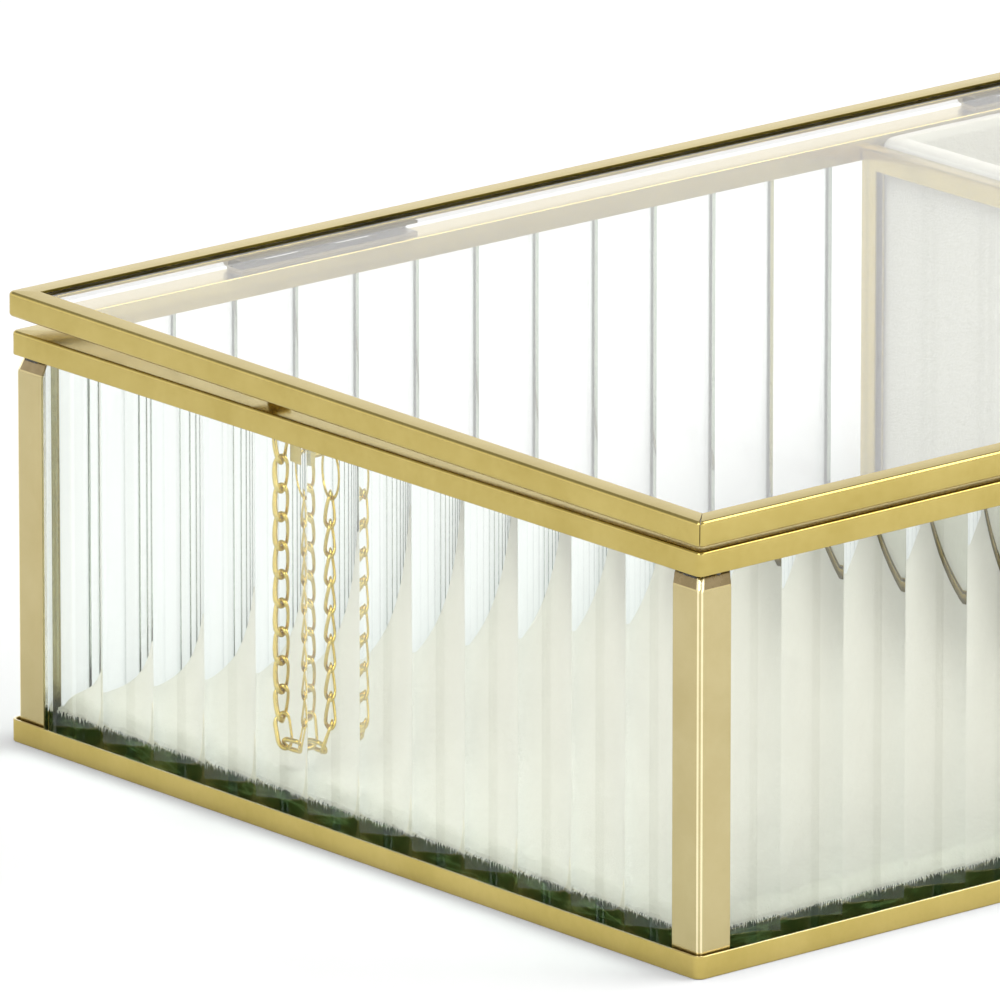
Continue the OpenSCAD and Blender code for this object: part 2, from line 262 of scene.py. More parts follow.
# a dull, dark brass for the hinges, darker than the frame's; part of that darkness is painted shade of the gap
# behind the lid
BRASS_HINGE = brass_material("brass_hinge", (0.26, 0.225, 0.15), (0.33, 0.29, 0.20), 0.25, 0.36)
GLASS_FLUTED = glass_material(
    "glass_fluted", (0.995, 0.998, 0.996), (0.80, 0.81, 0.80), absorb=(0.22, 0.76, 0.50), density=12.0)
GLASS_CLEAR = glass_material("glass_clear", (0.99, 0.993, 0.99), (0.94, 0.95, 0.945))
GLASS_BASE = green_edge_material("glass_base", (0.03, 0.07, 0.016), (0.17, 0.31, 0.10))
VELVET = velvet_material("velvet", (0.60, 0.58, 0.495), (0.675, 0.655, 0.565))
# painted light: the tray's outside takes a lighter copy of the same velvet
VELVET_TRAY_LIT = velvet_material("velvet_tray", (0.71, 0.70, 0.605), (0.79, 0.78, 0.68))
# painted shade: the tray's inside takes a darker copy of the same velvet
VELVET_LINING_SHADE = velvet_material("velvet_lining_shade", (0.50, 0.49, 0.405), (0.555, 0.545, 0.455))


# ------------------------------------------------------------------ mesh helpers
def make_object(name, verts, faces, mat, body, replaced, sharp, others=()):
    """A mesh from millimetre points that rides on a CAD body and replaces CAD nodes.

    Edges over sharp degrees stay sharp. others are (material, numbers of the faces that take it) pairs.
    """
    mesh = bpy.data.meshes.new(name)
    mesh.from_pydata([tuple(c * MM for c in v) for v in verts], [], faces)
    for slot_number, (_, numbers) in enumerate(others, 1):
        for k in numbers:
            mesh.polygons[k].material_index = slot_number
    mesh.validate()
    bm = bmesh.new()
    bm.from_mesh(mesh)
    bmesh.ops.remove_doubles(bm, verts=bm.verts, dist=1e-7)
    bmesh.ops.dissolve_degenerate(bm, edges=bm.edges, dist=1e-7)
    bmesh.ops.recalc_face_normals(bm, faces=bm.faces)
    bm.to_mesh(mesh)
    bm.free()
    mesh.materials.append(mat)
    for other, _ in others:
        mesh.materials.append(other)
    mesh.shade_smooth()
    mesh.set_sharp_from_angle(angle=math.radians(sharp))
    obj = bpy.data.objects.new(name, mesh)
    bpy.context.scene.collection.objects.link(obj)
    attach(obj, body)
    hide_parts(*replaced)
    return obj


def rounded(points, radii, steps=5):
    """A closed outline with its corners rounded: radii[k] at points[k]."""
    out = []
    count = len(points)
    for k, (p, r) in enumerate(zip(points, radii)):
        p = np.array(p, float)
        a = np.array(points[k - 1], float) - p
        b = np.array(points[(k + 1) % count], float) - p
        a, b = a / np.linalg.norm(a), b / np.linalg.norm(b)
        half = math.acos(np.clip(a @ b, -1, 1)) / 2
        reach = r / math.tan(half)
        centre = p + (a + b) / np.linalg.norm(a + b) * (r / math.sin(half))
        v0, v1 = p + a * reach - centre, p + b * reach - centre
        turn = math.atan2(v0[0] * v1[1] - v0[1] * v1[0], v0 @ v1)
        for s in range(steps + 1):
            t = turn * s / steps
            c, d = math.cos(t), math.sin(t)
            out.append((centre[0] + v0[0] * c - v0[1] * d, centre[1] + v0[0] * d + v0[1] * c))
    return out


def quarter(steps):
    """1 - cosine and 1 - sine through a quarter turn."""
    angles = [math.pi / 2 * s / steps for s in range(steps + 1)]
    return [(1 - math.cos(a), 1 - math.sin(a)) for a in angles]


def plan_path(inset, radius, steps=8):
    """The plan's outline at an inset, anticlockwise from the middle of the front left corner's bend."""
    r = max(radius - inset, 0.0)
    x, y = HALF_L - inset - r, HALF_D - inset - r
    half = steps // 2
    corners = [(-x, -y, 225, half), (x, -y, -90, steps), (x, y, 0, steps), (-x, y, 90, steps),
               (-x, -y, 180, half)]
    pts = []
    for cx, cy, first, count in corners:
        for s in range(count + 1):
            a = math.radians(first + 90 * s / steps)
            pts.append((cx + r * math.cos(a), cy + r * math.sin(a)))
    return pts


def in_room(p, q, room):
    """Whether the face from p to q of a profile lies in a channel's room or on its cut edge.

    The room is (inset of its back, low, high, inset of its lip).
    """
    inset, low, high, lip = room
    near = 0.3
    d, z = (p[0] + q[0]) / 2, (p[1] + q[1]) / 2
    on_flange = d > inset and abs(p[0] - q[0]) > near
    on_back = inset < d < inset + near
    return low < z < high and (on_flange or on_back) or z > high and d > lip


def strip_frame(name, profile, radius, body, node, mat, place=None, seam=0.0, room=None, painted_highlight=None):
    """Sweeps a profile of (inset, z) points round the plan. A seam parts its ends at the front left corner.

    Faces in the room take painted shade, a near-black brass for the shaded inside of a channel, and faces
    above the height in the last argument take a painted highlight, a pale bright brass.
    """
    paths = [plan_path(d, radius) for d, _ in profile]
    count = len(paths[0])
    n = len(profile)
    verts, faces, dark, bright = [], [], [], []
    for k in range(count):
        apart = seam / 2 * math.sqrt(0.5) * {0: 1, count - 1: -1}.get(k, 0)
        for (_, z), path in zip(profile, paths):
            x, y = path[k]
            verts.append((x + apart, y - apart, z))
    for k in range(count - 1):
        for j in range(n):
            p, q = profile[j], profile[(j + 1) % n]
            # faces in the channel's room take painted shade
            if room and in_room(p, q, room):
                dark.append(len(faces))
            # faces above the given height take a painted highlight
            if painted_highlight and min(p[1], q[1]) > painted_highlight:
                bright.append(len(faces))
            a, b = k * n + j, k * n + (j + 1) % n
            faces.append((a, b, b + n, a + n))
    if seam:
        faces.append(tuple(range(n)))
        faces.append(tuple(reversed(range((count - 1) * n, count * n))))
    if place:
        verts = [place(*v) for v in verts]
    return make_object(name, verts, faces, mat, body, [node], BRASS_SHARP,
                       others=[(BRASS_SHADE, dark), (BRASS_HIGHLIGHT, bright)])


def on_lid(x, y, z):
    """From the level lid, whose hinge axis is the X axis, to its place on the closed box."""
    c, s = math.cos(LID_TILT), math.sin(LID_TILT)
    return (x, AXIS_Y + y * c - z * s, AXIS_Z + y * s + z * c)


# ------------------------------------------------------------------ brass strips
base_profile = rounded(
    [(BASE_FLANGE, 0), (0, 0), (0, BASE_H), (STRIP, BASE_H), (STRIP, STRIP), (BASE_FLANGE, STRIP)],
    [FINE_R, FOLD_OUT_R, EDGE_R, EDGE_R, FINE_R, FINE_R])
# the base rim's top face takes a painted highlight
strip_frame(
    "base_rim_brass", base_profile, RIM_CORNER_R, "box", "base_rim", BRASS_BASE, painted_highlight=BASE_H - 0.03)

rim_low = RIM_TOP - RIM_FACE
rim_inner_low = rim_low + 0.2
rim_profile = rounded(
    [(RIM_IN, rim_low), (RIM_IN, RIM_TOP), (CHANNEL_IN, RIM_TOP), (CHANNEL_IN, rim_inner_low),
     (CHANNEL_IN - STRIP, rim_inner_low), (CHANNEL_IN - STRIP, RIM_TOP - STRIP),
     (RIM_IN + STRIP, RIM_TOP - STRIP), (RIM_IN + STRIP, rim_low)],
    [EDGE_R, RIM_BEND_R, FOLD_OUT_R, EDGE_R, EDGE_R, FINE_R, FINE_R, EDGE_R])
strip_frame("top_rim_brass", rim_profile, RIM_CORNER_R, "box", "top_rim", BRASS)

lid_low = LID_GAP / 2
lid_high = lid_low + LID_FACE
lid_inner_low, lid_inner_high = lid_low + STRIP, lid_high - STRIP
lid_fold_in = LID_BEND_R - STRIP
lid_profile = rounded(
    [(LID_FLANGE, lid_low), (0, lid_low), (0, lid_high), (LID_FLANGE, lid_high), (LID_FLANGE, lid_inner_high),
     (STRIP, lid_inner_high), (STRIP, lid_inner_low), (LID_FLANGE, lid_inner_low)],
    [CUT_R, LID_BEND_R, LID_BEND_R, CUT_R, CUT_R, lid_fold_in, lid_fold_in, CUT_R])
# the inside of the lid's channel takes painted shade
strip_frame(
    "lid_frame_brass", lid_profile, CORNER_R, "lid", "lid_frame", BRASS,
    place=lambda x, y, z: on_lid(x, y - AXIS_Y, z), seam=0.12,
    room=(STRIP - 0.02, lid_inner_low - 0.02, lid_inner_high + 0.02, LID_FLANGE - 0.05))


POST_BEND_R = 0.75
# heights from the rim's lower edge, and how far the post leans in there
POST_TUCK = [(-2.6, 0.0), (-2.35, 0.03), (-2.1, 0.10), (-1.7, 0.24), (-1.2, 0.40), (-0.75, 0.54),
             (-0.45, 0.72), (-0.2, 1.0), (0.4, 1.3)]
# heights of the crimp's painted shade, and the top of the painted highlight on its bend
CRIMP_LOW = rim_low - 2.2
CRIMP_HIGH = rim_low - 0.5
CRIMP_BEND_HIGH = rim_low - 0.7


def on_bend(p):
    """Whether a point of the post's outline lies on its bend."""
    reach = POST_BEND_R + 0.01
    return math.hypot(p[0] - POST_BEND_R, p[1] - POST_BEND_R) < reach and max(p) < reach


def corner_post(name, sx, sy, node):
    """Folded angle that stands in the base rim, its top end crimped and tucked in under the upper rim."""
    line = rounded(
        [(POST_LEG, 0), (0, 0), (0, POST_LEG), (STRIP, POST_LEG), (STRIP, STRIP), (POST_LEG, STRIP)],
        [FINE_R, POST_BEND_R, FINE_R, FINE_R, POST_BEND_R - STRIP, FINE_R], steps=8)
    n = len(line)
    levels = [(z, 0.0) for z in (STRIP, *CUTS)] + [(rim_low + up, lean) for up, lean in POST_TUCK]
    verts, faces, crimped, bright = [], [], [], []
    for z, lean in levels:
        narrow = 1 - lean * 0.5 / POST_LEG
        for a, b in line:
            x, y = POST_IN + lean + a * narrow - HALF_L, POST_IN + lean + b * narrow - HALF_D
            verts.append((sx * x, sy * y, z))
    for k, (z, _) in enumerate(levels[:-1]):
        for j in range(n):
            p, q = line[j], line[(j + 1) % n]
            across = abs(p[0] + q[0] - p[1] - q[1]) / 2
            # painted highlight on the outer bend, in two bands and all over on the crimp; painted shade on the
            # rest of the crimp
            painted_highlight = 0.25 < across < 0.62 or CRIMP_LOW < z < CRIMP_BEND_HIGH
            if on_bend(p) and on_bend(q) and min(p) < 0.3 and painted_highlight:
                bright.append(len(faces))
            elif CRIMP_LOW < z < CRIMP_HIGH:
                crimped.append(len(faces))
            a, b = k * n + j, k * n + (j + 1) % n
            faces.append((a, b, b + n, a + n))
    faces.append(tuple(range(n)))
    faces.append(tuple(reversed(range((len(levels) - 1) * n, len(levels) * n))))
    return make_object(name, verts, faces, BRASS_POST, "box", [node], BRASS_SHARP,
                       others=[(BRASS_HIGHLIGHT, bright), (BRASS_CRIMP_SHADE, crimped)])


for end, sy in (("front", 1), ("back", -1)):
    for side, sx in (("left", 1), ("right", -1)):
        corner_post(f"post_{end}_{side}_brass", sx, sy, f"post_{end}_{side}")


# ------------------------------------------------------------------ glass
RIDGE = 0.08
HOLLOW_STEPS = 20
RIDGE_STEPS = 6
# how far a flute's middle is from the middle of its wall
FRONT_SHIFT, BACK_SHIFT, END_SHIFT = -3.0, 1.85, -4.5


def rise(u):
    """How far a flute's hollow has risen at u from its middle."""
    return FLUTE_R - math.sqrt(FLUTE_R ** 2 - u * u)


def flute_depth(u):
    """Depth of the outer face at u from the middle of a flute, with the ridge between two flutes eased."""
    sag = rise(FLUTE_PITCH / 2)
    from_ridge = FLUTE_PITCH / 2 - abs(u)
    if from_ridge >= RIDGE:
        return sag - rise(u)
    edge_u = FLUTE_PITCH / 2 - RIDGE
    slope = edge_u / math.sqrt(FLUTE_R ** 2 - edge_u ** 2)
    return sag - rise(edge_u) - slope * (RIDGE / 2 - from_ridge * from_ridge / (2 * RIDGE))


def fluted_pane(name, length, shift, place, node):
    """Pane with round hollows along its outer face and softly rounded ridges between them."""
    z0, z1 = STRIP + 0.03, RIM_TOP - STRIP - 0.03
    half = length / 2
    xs = {-half, half}
    flutes = int(-half // FLUTE_PITCH) - 1
    for k in range(flutes, -flutes + 1):
        middle = k * FLUTE_PITCH + shift
        for s in range(HOLLOW_STEPS + 1):
            xs.add(round(middle + (s / HOLLOW_STEPS - 0.5) * (FLUTE_PITCH - 2 * RIDGE), 5))
        for s in range(1, RIDGE_STEPS):
            xs.add(round(middle + FLUTE_PITCH / 2 - RIDGE + 2 * RIDGE * s / RIDGE_STEPS, 5))
    xs = sorted(x for x in xs if -half <= x <= half)
    verts, faces = [], []
    for x in xs:
        d = flute_depth((x - shift + FLUTE_PITCH / 2) % FLUTE_PITCH - FLUTE_PITCH / 2)
        verts += [(x, d, z0), (x, d, z1), (x, GLASS_T, z1), (x, GLASS_T, z0)]
    for k in range(len(xs) - 1):
        for j in range(4):
            p, q = 4 * k + j, 4 * k + (j + 1) % 4
            faces.append((p, q, q + 4, p + 4))
    last = 4 * (len(xs) - 1)
    faces.append((0, 1, 2, 3))
    faces.append((last + 3, last + 2, last + 1, last))
    verts = [place(*v) for v in verts]
    return make_object(name, verts, faces, GLASS_FLUTED, "box", [node], 50)


long_len = 2 * (HALF_L - GLASS_IN)
end_len = 2 * (HALF_D - GLASS_IN - GLASS_T) - 0.06
pane_x, pane_y = HALF_L - GLASS_IN, HALF_D - GLASS_IN
fluted_pane("wall_front_glass", long_len, FRONT_SHIFT, lambda x, d, z: (x, -pane_y + d, z), "wall_front")
fluted_pane("wall_back_glass", long_len, BACK_SHIFT, lambda x, d, z: (-x, pane_y - d, z), "wall_back")
fluted_pane("wall_left_glass", end_len, END_SHIFT, lambda x, d, z: (-pane_x + d, -x, z), "wall_left")
fluted_pane("wall_right_glass", end_len, END_SHIFT, lambda x, d, z: (pane_x - d, x, z), "wall_right")


def bevelled_box(name, lo, hi, bevel, mat, body, node, place=None):
    """Block with its edges bevelled, from millimetre corners."""
    bm = bmesh.new()
    bmesh.ops.create_cube(bm, size=1.0)
    for v in bm.verts:
        v.co = Vector([(lo[k] + hi[k]) / 2 + v.co[k] * (hi[k] - lo[k]) for k in range(3)])
    bmesh.ops.bevel(bm, geom=list(bm.edges), offset=bevel, segments=2, profile=0.5, affect="EDGES")
    bm.verts.ensure_lookup_table()
    verts = [tuple(v.co) for v in bm.verts]
    faces = [[v.index for v in f.verts] for f in bm.faces]
    bm.free()
    if place:
        verts = [place(*v) for v in verts]
    return make_object(name, verts, faces, mat, body, [node], 5)


pane_in = STRIP + 0.13
bevelled_box(
    "lid_pane_glass", (-HALF_L + pane_in, -HALF_D + pane_in - AXIS_Y, lid_inner_low + 0.03),
    (HALF_L - pane_in, HALF_D - pane_in - AXIS_Y, lid_inner_high - 0.03), 0.2, GLASS_CLEAR, "lid",
    "lid_pane", place=on_lid)
plate_in = GLASS_IN + GLASS_T + 0.12
bevelled_box(
    "base_plate_glass", (-HALF_L + plate_in, -HALF_D + plate_in, STRIP + 0.02),
    (HALF_L - plate_in, HALF_D - plate_in, BASE_TOP), 0.25, GLASS_BASE, "box", "base_plate")
part_y = HALF_D - CHANNEL_IN - 0.05
in_channel = STRIP + 0.12
bevelled_box(
    "partition_pane_glass", (PART_X - 1.0, -part_y + in_channel, PART_LOW + in_channel),
    (PART_X + 1.0, part_y - in_channel, PART_HIGH - in_channel), 0.15, GLASS_CLEAR, "box",
    "partition_pane")


# ------------------------------------------------------------------ partition channels
def partition_channel(node, start, end, inward):
    """Channel of the partition between two mitred corners; inward points to the middle of the pane."""
    start, end, inward = Vector(start), Vector(end), Vector(inward)
    along = (end - start).normalized()
    w = PART_W / 2
    outer, inner = 0.35, 0.08
    profile = rounded(
        [(0, -w), (PART_DEPTH, -w), (PART_DEPTH, -w + STRIP), (STRIP, -w + STRIP), (STRIP, w - STRIP),
         (PART_DEPTH, w - STRIP), (PART_DEPTH, w), (0, w)],
        [outer, CUT_R, CUT_R, inner, inner, CUT_R, CUT_R, outer], steps=4)
    n = len(profile)
    verts, faces = [], []
    for base, sign in ((start, 1), (end, -1)):
        for d, side in profile:
            verts.append(tuple(base + inward * d + along * d * sign + Vector((1, 0, 0)) * side))
    for j in range(n):
        a, b = j, (j + 1) % n
        faces.append((a, b, b + n, a + n))
    faces.append(tuple(range(n)))
    faces.append(tuple(reversed(range(n, 2 * n))))
    return make_object(node + "_brass", verts, faces, BRASS, "box", [node], BRASS_SHARP)


MITRE_GAP = 0.015
rail_y = part_y - MITRE_GAP
post_low, post_high = PART_LOW + MITRE_GAP, PART_HIGH - MITRE_GAP
partition_channel("partition_rail_top", (PART_X, -rail_y, PART_HIGH), (PART_X, rail_y, PART_HIGH), (0, 0, -1))
partition_channel("partition_rail_bottom", (PART_X, -rail_y, PART_LOW), (PART_X, rail_y, PART_LOW), (0, 0, 1))
for end, sy in (("front", -1), ("back", 1)):
    y = sy * part_y
    partition_channel(f"partition_post_{end}", (PART_X, y, post_low), (PART_X, y, post_high), (0, -sy, 0))


# ------------------------------------------------------------------ chain
# the part's links are 2.8 wide in 0.7 wire; the strands' links seen here are twisted, wider and thicker
WIRE = 0.7
SEEN_WIRE = 0.8
CURB_W, TURN_W = 3.15, 3.5
LINK_PITCH = 4.2
LINK_PLAY = 0.06
TURN_PITCH = LINK_PITCH - 0.4
BOX_LINKS, LID_LINKS = 8, 10
BEND_STEPS, STRAIGHT_STEPS = 14, 5
RING_WIRE = 0.6
EYE_PIN_R = 0.35
RING_PLAY = 0.05
BOX_RING, LID_RING = 7.6, 3.2
BOX_X, LID_X = 10.0 - HALF_L, 7.4 - HALF_L
BOX_Y, LID_Y = 90.5 - HALF_D, 96.65 - HALF_D
BOX_PIN_Z = 54.25


def tube(points, radius, sides):
    """Verts and faces of a round wire along a closed line of points."""
    pts = [Vector(p) for p in points]
    n = len(pts)
    centre = sum(pts, Vector()) / n
    normal = Vector()
    for k in range(n):
        normal += (pts[k] - centre).cross(pts[(k + 1) % n] - centre)
    normal.normalize()
    verts, faces = [], []
    for k, p in enumerate(pts):
        tangent = (pts[(k + 1) % n] - pts[k - 1]).normalized()
        side = tangent.cross(normal).normalized()
        up = side.cross(tangent).normalized()
        for j in range(sides):
            a = 2 * math.pi * j / sides
            verts.append(p + side * (radius * math.cos(a)) + up * (radius * math.sin(a)))
    for k in range(n):
        k2 = (k + 1) % n
        for j in range(sides):
            j2 = (j + 1) % sides
            faces.append((k * sides + j, k * sides + j2, k2 * sides + j2, k2 * sides + j))
    return verts, faces


def link_points(width, twist=0.0):
    """Centreline of one link that hangs from the origin, its loop in the XZ plane.

    twist, in radians, turns its lower end against its upper end.
    """
    r = (width - WIRE) / 2
    reach = LINK_PITCH / 2 + WIRE / 2 + LINK_PLAY - r
    middle = -LINK_PITCH / 2
    bend = [math.pi * s / BEND_STEPS for s in range(BEND_STEPS + 1)]
    straight = [reach * (1 - 2 * s / STRAIGHT_STEPS) for s in range(1, STRAIGHT_STEPS)]
    flat = [(r * math.cos(a), reach + r * math.sin(a)) for a in bend] + [(-r, z) for z in straight]
    flat += [(-r * math.cos(a), -reach - r * math.sin(a)) for a in bend] + [(r, -z) for z in straight]
    out = []
    for x, z in flat:
        a = twist * z / (2 * (reach + r))
        out.append(Vector((x * math.cos(a), x * math.sin(a), z + middle)))
    return out


def join(parts):
    verts, faces = [], []
    for v, f in parts:
        base = len(verts)
        verts += v
        faces += [tuple(i + base for i in face) for face in f]
    return verts, faces


def placed(points, matrix):
    return [matrix @ p for p in points]


def axis_turn(angle, axis):
    return Matrix.Rotation(math.radians(angle), 4, axis)


def ring_drop(d):
    """From a pin's axis down to where the first link hangs in a ring of diameter d."""
    return d - RING_WIRE - EYE_PIN_R - RING_PLAY - 2 * LINK_PLAY


def ring_centre(pin_z, d):
    return pin_z + EYE_PIN_R + RING_PLAY + RING_WIRE / 2 - d / 2


box_top_z = BOX_PIN_Z - ring_drop(BOX_RING)
box_low_z = box_top_z - BOX_LINKS * LINK_PITCH
turn_side = (BOX_X - LID_X) / 2
turn_run = math.sqrt(TURN_PITCH ** 2 - turn_side ** 2)
turn_angle = math.acos((LID_Y - BOX_Y - turn_run) / (TURN_PITCH + turn_run))
lid_low_z = box_low_z + (TURN_PITCH - turn_run) * math.sin(turn_angle)
lid_top_z = lid_low_z + LID_LINKS * LINK_PITCH
lid_pin_z = lid_top_z + ring_drop(LID_RING)


def strand(x, y, z, count, facing, twist):
    """Curb links, each twisted a quarter turn so that all of them lie the same way.

    The strand's middle turns by facing degrees from the plane that its ends lie in.
    """
    line = link_points(CURB_W, math.radians(twist))
    parts = []
    for k in range(count):
        turn = facing * math.sqrt(math.sin(math.pi * (k + 0.15) / (count - 0.7)))
        m = Matrix.Translation((x, y, z - k * LINK_PITCH)) @ axis_turn(turn, "Z")
        parts.append(tube(placed(line, m), SEEN_WIRE / 2, 12))
    return join(parts)


def turned_link(x, y, z, angle, side_run, twist):
    """Plain link at the bottom of the U. It runs from x, y, z at an angle below level, side_run across."""
    m = (Matrix.Translation((x, y, z)) @ axis_turn(math.degrees(angle) + 90, "X")
         @ axis_turn(math.degrees(math.asin(-side_run / TURN_PITCH)), "Y")
         @ Matrix.Translation((0, 0, (LINK_PITCH - TURN_PITCH) / 2)) @ axis_turn(twist, "Z"))
    return tube(placed(link_points(TURN_W), m), WIRE / 2, 12)


def wire_ring(x, y, z, d):
    angles = np.linspace(0, 2 * math.pi, 48, endpoint=False)
    pts = [(x, y + d / 2 * math.cos(a), z + d / 2 * math.sin(a)) for a in angles]
    return tube(pts, RING_WIRE / 2, 14)


def chain_object(name, shape, body, node):
    verts = [tuple(v) for v in shape[0]]
    return make_object(name, verts, shape[1], BRASS_CHAIN, body, [node], 60)


chain_object(
    "chain_ring_box_wire", wire_ring(BOX_X, BOX_Y, ring_centre(BOX_PIN_Z, BOX_RING), BOX_RING),
    "chain_box", "chain_ring_box")
chain_object(
    "chain_strand_box_links", strand(BOX_X, BOX_Y, box_top_z, BOX_LINKS, 12.0, 90.0),
    "chain_box", "chain_strand_box")
chain_object(
    "chain_turn_1_link", turned_link(BOX_X, BOX_Y, box_low_z, -turn_angle, -turn_side, 45),
    "chain_turn_a", "chain_turn_1")
turn_2_y = BOX_Y + turn_run * math.cos(turn_angle)
turn_2_z = box_low_z - turn_run * math.sin(turn_angle)
chain_object(
    "chain_turn_2_link", turned_link(BOX_X - turn_side, turn_2_y, turn_2_z, 0.0, -turn_side, -45),
    "chain_turn_b", "chain_turn_2")
turn_3_y = LID_Y - TURN_PITCH * math.cos(turn_angle)
turn_3_z = lid_low_z - TURN_PITCH * math.sin(turn_angle)
chain_object(
    "chain_turn_3_link", turned_link(LID_X, turn_3_y, turn_3_z, turn_angle, 0.0, 30),
    "chain_turn_c", "chain_turn_3")
chain_object(
    "chain_strand_lid_links", strand(LID_X, LID_Y, lid_top_z, LID_LINKS, -38.0, -90.0),
    "chain_lid", "chain_strand_lid")
chain_object(
    "chain_ring_lid_wire", wire_ring(LID_X, LID_Y, ring_centre(lid_pin_z, LID_RING), LID_RING),
    "chain_lid", "chain_ring_lid")


# ------------------------------------------------------------------ velvet
TUFT_PITCH = 0.2


def pile_tufts(root_in, hang_in, end_x, foot):
    """Loose fibres along the front, left and back of a pad.

    Each one is a bent three-sided spike that sticks out of the pad at the inset root_in and hangs at hang_in.
    """
    rng = random.Random(11)
    verts, faces = [], []
    sides = [((-HALF_L, -HALF_D), (end_x, -HALF_D), (0, 1)), ((-HALF_L, HALF_D), (end_x, HALF_D), (0, -1)),
             ((-HALF_L, -HALF_D), (-HALF_L, HALF_D), (1, 0))]
    clear = root_in + 0.2
    for start, end, inward in sides:
        start, inward = Vector((*start, 0)), Vector((*inward, 0))
        run = Vector((*end, 0)) - start
        along = run.normalized()
        for k in range(int((run.length - 2 * clear) / TUFT_PITCH)):
            at = start + along * (clear + TUFT_PITCH * (k + rng.random()))
            drop = 0.1 + 0.95 * rng.random() ** 2.2
            width = rng.uniform(0.04, 0.11)
            lean = along * rng.uniform(-0.3, 0.3)
            first = len(verts)
            for depth, height, share in ((root_in, 0.55, 0.0), (hang_in, 0.02, 0.4)):
                middle = at + inward * depth + lean * share + Vector((0, 0, foot + height))
                verts += [tuple(middle + step) for step in (-along * width, along * width, inward * 0.05)]
            verts.append(tuple(at + inward * hang_in + lean + Vector((0, 0, foot - drop))))
            for j in range(3):
                j2 = (j + 1) % 3
                faces.append([first + j, first + j2, first + 3 + j2, first + 3 + j])
                faces.append([first + 3 + j, first + 3 + j2, first + 6])
            faces.append([first + 2, first + 1, first])
    return verts, faces


def noise_at(x, y, scale, height):
    """Smooth noise between -1 and 1 at a point of a level plane."""
    return noise.noise(Vector((x * scale, y * scale, height)))


def soft_board(name, lo, hi, radius, crown, mat, node, tufts):
    """Padded board: rounded edges, a slightly crowned top, an uneven pile and loose tufts at its foot."""
    cell = 1.6
    fuzz = 0.12
    width, depth, h = (hi[k] - lo[k] for k in range(3))

    def ease(t, size):
        """0 at the rim and 1 inside, over radius."""
        return min(min(t, size - t) / radius, 1.0)

    def stations(size):
        edge = [radius * c for c, _ in quarter(8)]
        middle = np.linspace(radius, size - radius, max(2, int(size / cell)))[1:-1]
        return edge + list(middle) + [size - e for e in reversed(edge)]

    def fall(share):
        """How far the rounded edge has dropped, for an eased distance from the rim."""
        return radius * (1 - math.sqrt(max(0.0, 1 - (1 - share) ** 2)))

    us, vs = stations(width), stations(depth)
    verts, faces = [], []
    for u in us:
        for v in vs:
            a, b = ease(u, width), ease(v, depth)
            bulge = crown * (math.sin(math.pi * u / width) * math.sin(math.pi * v / depth)) ** 0.4
            ripple = fuzz * (noise_at(u, v, 0.35, 3.0) + 0.6 * noise_at(u, v, 0.09, 10.0))
            push = fuzz * noise_at(u, v, 0.8, 6.0) if min(a, b) < 0.5 else 0.0
            x = lo[0] + u + (push if u < width / 2 else -push)
            z = hi[2] - crown - min(fall(a) + fall(b), h * 0.75) + bulge + ripple * min(a, b)
            verts.append((x, lo[1] + v, z))
    nu, nv = len(us), len(vs)
    for i in range(nu - 1):
        for j in range(nv - 1):
            k = i * nv + j
            faces.append((k, k + nv, k + nv + 1, k + 1))
    rim = [i * nv for i in range(nu)] + [(nu - 1) * nv + j for j in range(1, nv)]
    rim += [i * nv + nv - 1 for i in range(nu - 2, -1, -1)] + list(range(nv - 2, 0, -1))
    low = [len(verts) + k for k in range(len(rim))]
    verts += [(verts[k][0], verts[k][1], lo[2]) for k in rim]
    for k in range(len(rim)):
        k2 = (k + 1) % len(rim)
        faces.append((rim[k], rim[k2], low[k2], low[k]))
    faces.append(tuple(reversed(low)))
    verts, faces = join([(verts, faces), tufts])
    return make_object(name, verts, faces, mat, "box", [node], 80)


pad_in = GLASS_IN + GLASS_T + 0.3
pad_top = BASE_TOP + 2.65
tufts = pile_tufts(pad_in + 0.05, GLASS_IN + GLASS_T + 0.03, PART_X - PART_W, BASE_TOP)
pad = soft_board(
    "velvet_pad_cloth", (-HALF_L + pad_in, -HALF_D + pad_in, BASE_TOP + 0.01),
    (PART_X - PART_W / 2 - 0.3, HALF_D - pad_in, pad_top), 2.3, 0.3, VELVET, "velvet_pad", tufts)


